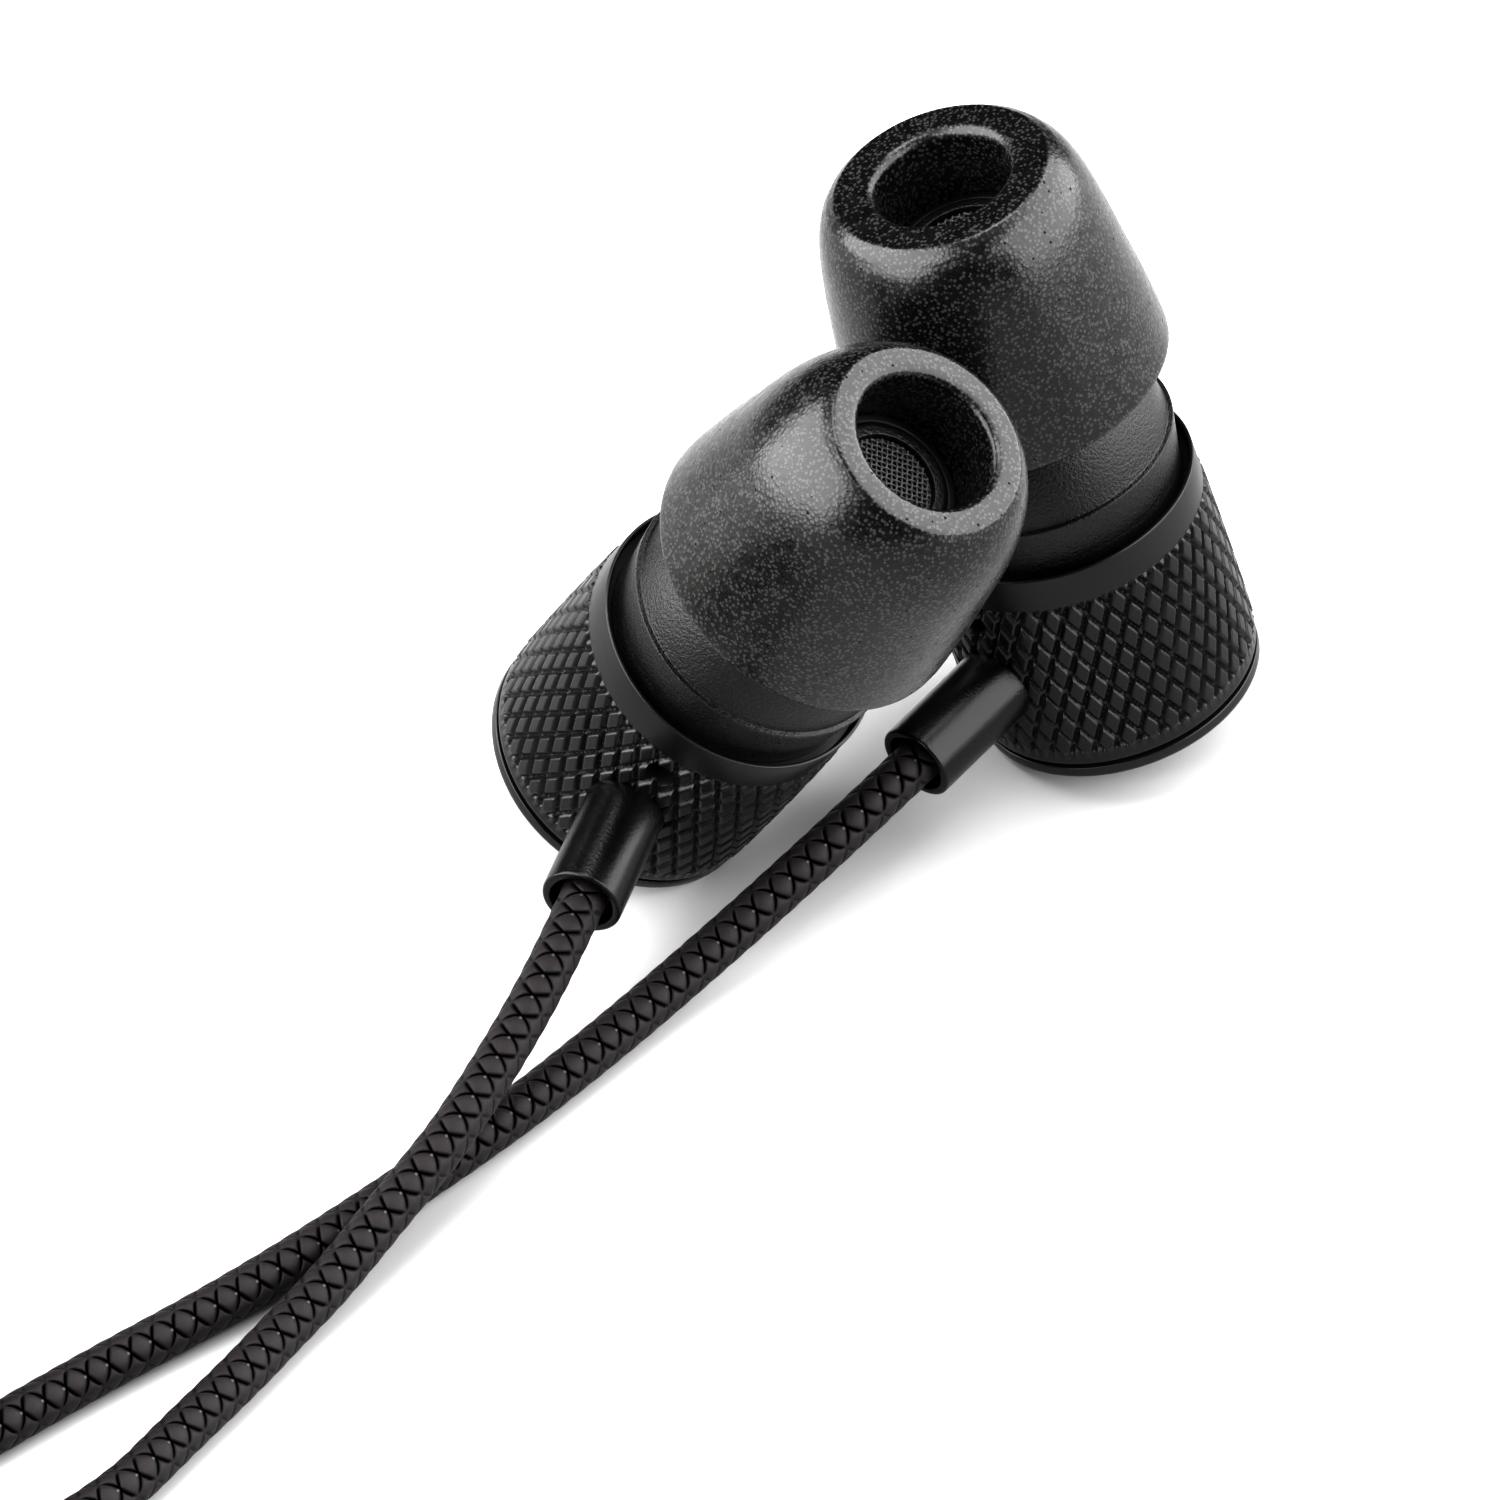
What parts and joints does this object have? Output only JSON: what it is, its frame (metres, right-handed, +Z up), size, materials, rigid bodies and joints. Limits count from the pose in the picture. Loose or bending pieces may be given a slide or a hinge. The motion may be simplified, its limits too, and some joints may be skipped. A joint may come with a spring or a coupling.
{
  "type": "wired earphones",
  "caption": "In-ear earphones with knurled cylindrical housings, pull-off foam tips and a textile cord coiled to a splitter and jack plug.",
  "frame": {"origin": "middle of the space the two earpieces stand in, on the floor under them", "axes": "+X to the right along the pair of earpieces, +Y away from the side the cords leave, +Z up"},
  "size_m": [0.0933, 0.0624, 0.0284],
  "materials": {
    "cap": "satin black anodised disc",
    "shell": "black anodised, diamond knurled",
    "front": "fine bead-blasted, black anodised",
    "mesh": "dark woven wire",
    "gasket": "matt foam rubber",
    "driver_plastic": "moulded",
    "driver_steel": "plated, pressed",
    "magnet": "nickel plated",
    "coil_wire": "enamelled copper wire",
    "film": "clear polymer film",
    "board": "solder-masked board",
    "vent_cloth": "fine acoustic cloth",
    "relief": "satin moulded rubber",
    "tip_core": "smooth satin silicone",
    "foam": "open-cell slow-recovery foam, fine pores",
    "cord": "stitched textile cover",
    "tie": "soft strap",
    "moulding": "satin moulded",
    "handle": "black anodised",
    "contact": "gold plated, polished",
    "insulator": "moulded ring"
  },
  "bodies": {
    "earphones": {"branch_coil": "cord", "cord_tie": "tie", "left_body_shell": "shell", "left_cord": "cord", "left_cord_anchor": "relief", "left_cord_end": "cord", "left_diaphragm": "film", "left_driver_board": "board", "left_driver_cover": "driver_plastic", "left_driver_frame": "driver_plastic", "left_driver_gasket": "gasket", "left_driver_magnet": "magnet", "left_driver_plate": "driver_steel", "left_driver_yoke": "driver_steel", "left_front_housing": "front", "left_nozzle_mesh": "mesh", "left_rear_cap": "cap", "left_strain_relief": "relief", "left_vent_filter": "vent_cloth", "left_voice_coil": "coil_wire", "main_coil": "cord", "main_cord_end": "cord", "main_cord_start": "cord", "plug_handle": "handle", "plug_inner_insulator": "insulator", "plug_outer_insulator": "insulator", "plug_relief": "relief", "plug_ring_contact": "contact", "plug_sleeve_contact": "contact", "plug_tip_contact": "contact", "right_body_shell": "shell", "right_cord": "cord", "right_cord_anchor": "relief", "right_cord_end": "cord", "right_diaphragm": "film", "right_driver_board": "board", "right_driver_cover": "driver_plastic", "right_driver_frame": "driver_plastic", "right_driver_gasket": "gasket", "right_driver_magnet": "magnet", "right_driver_plate": "driver_steel", "right_driver_yoke": "driver_steel", "right_front_housing": "front", "right_nozzle_mesh": "mesh", "right_rear_cap": "cap", "right_strain_relief": "relief", "right_vent_filter": "vent_cloth", "right_voice_coil": "coil_wire", "y_splitter": "moulding"},
    "left_tip": {"left_tip_core": "tip_core", "left_tip_foam": "foam"},
    "right_tip": {"right_tip_core": "tip_core", "right_tip_foam": "foam"}
  },
  "joints": [
    {"name": "left_tip_pull_off", "type": "slide", "parent": "earphones", "child": "left_tip", "axis": [0.4464, -0.2921, 0.8458], "range_m": [0, 0.01]},
    {"name": "right_tip_pull_off", "type": "slide", "parent": "earphones", "child": "right_tip", "axis": [-0.2778, -0.0043, 0.9606], "range_m": [0, 0.01]}
  ]
}
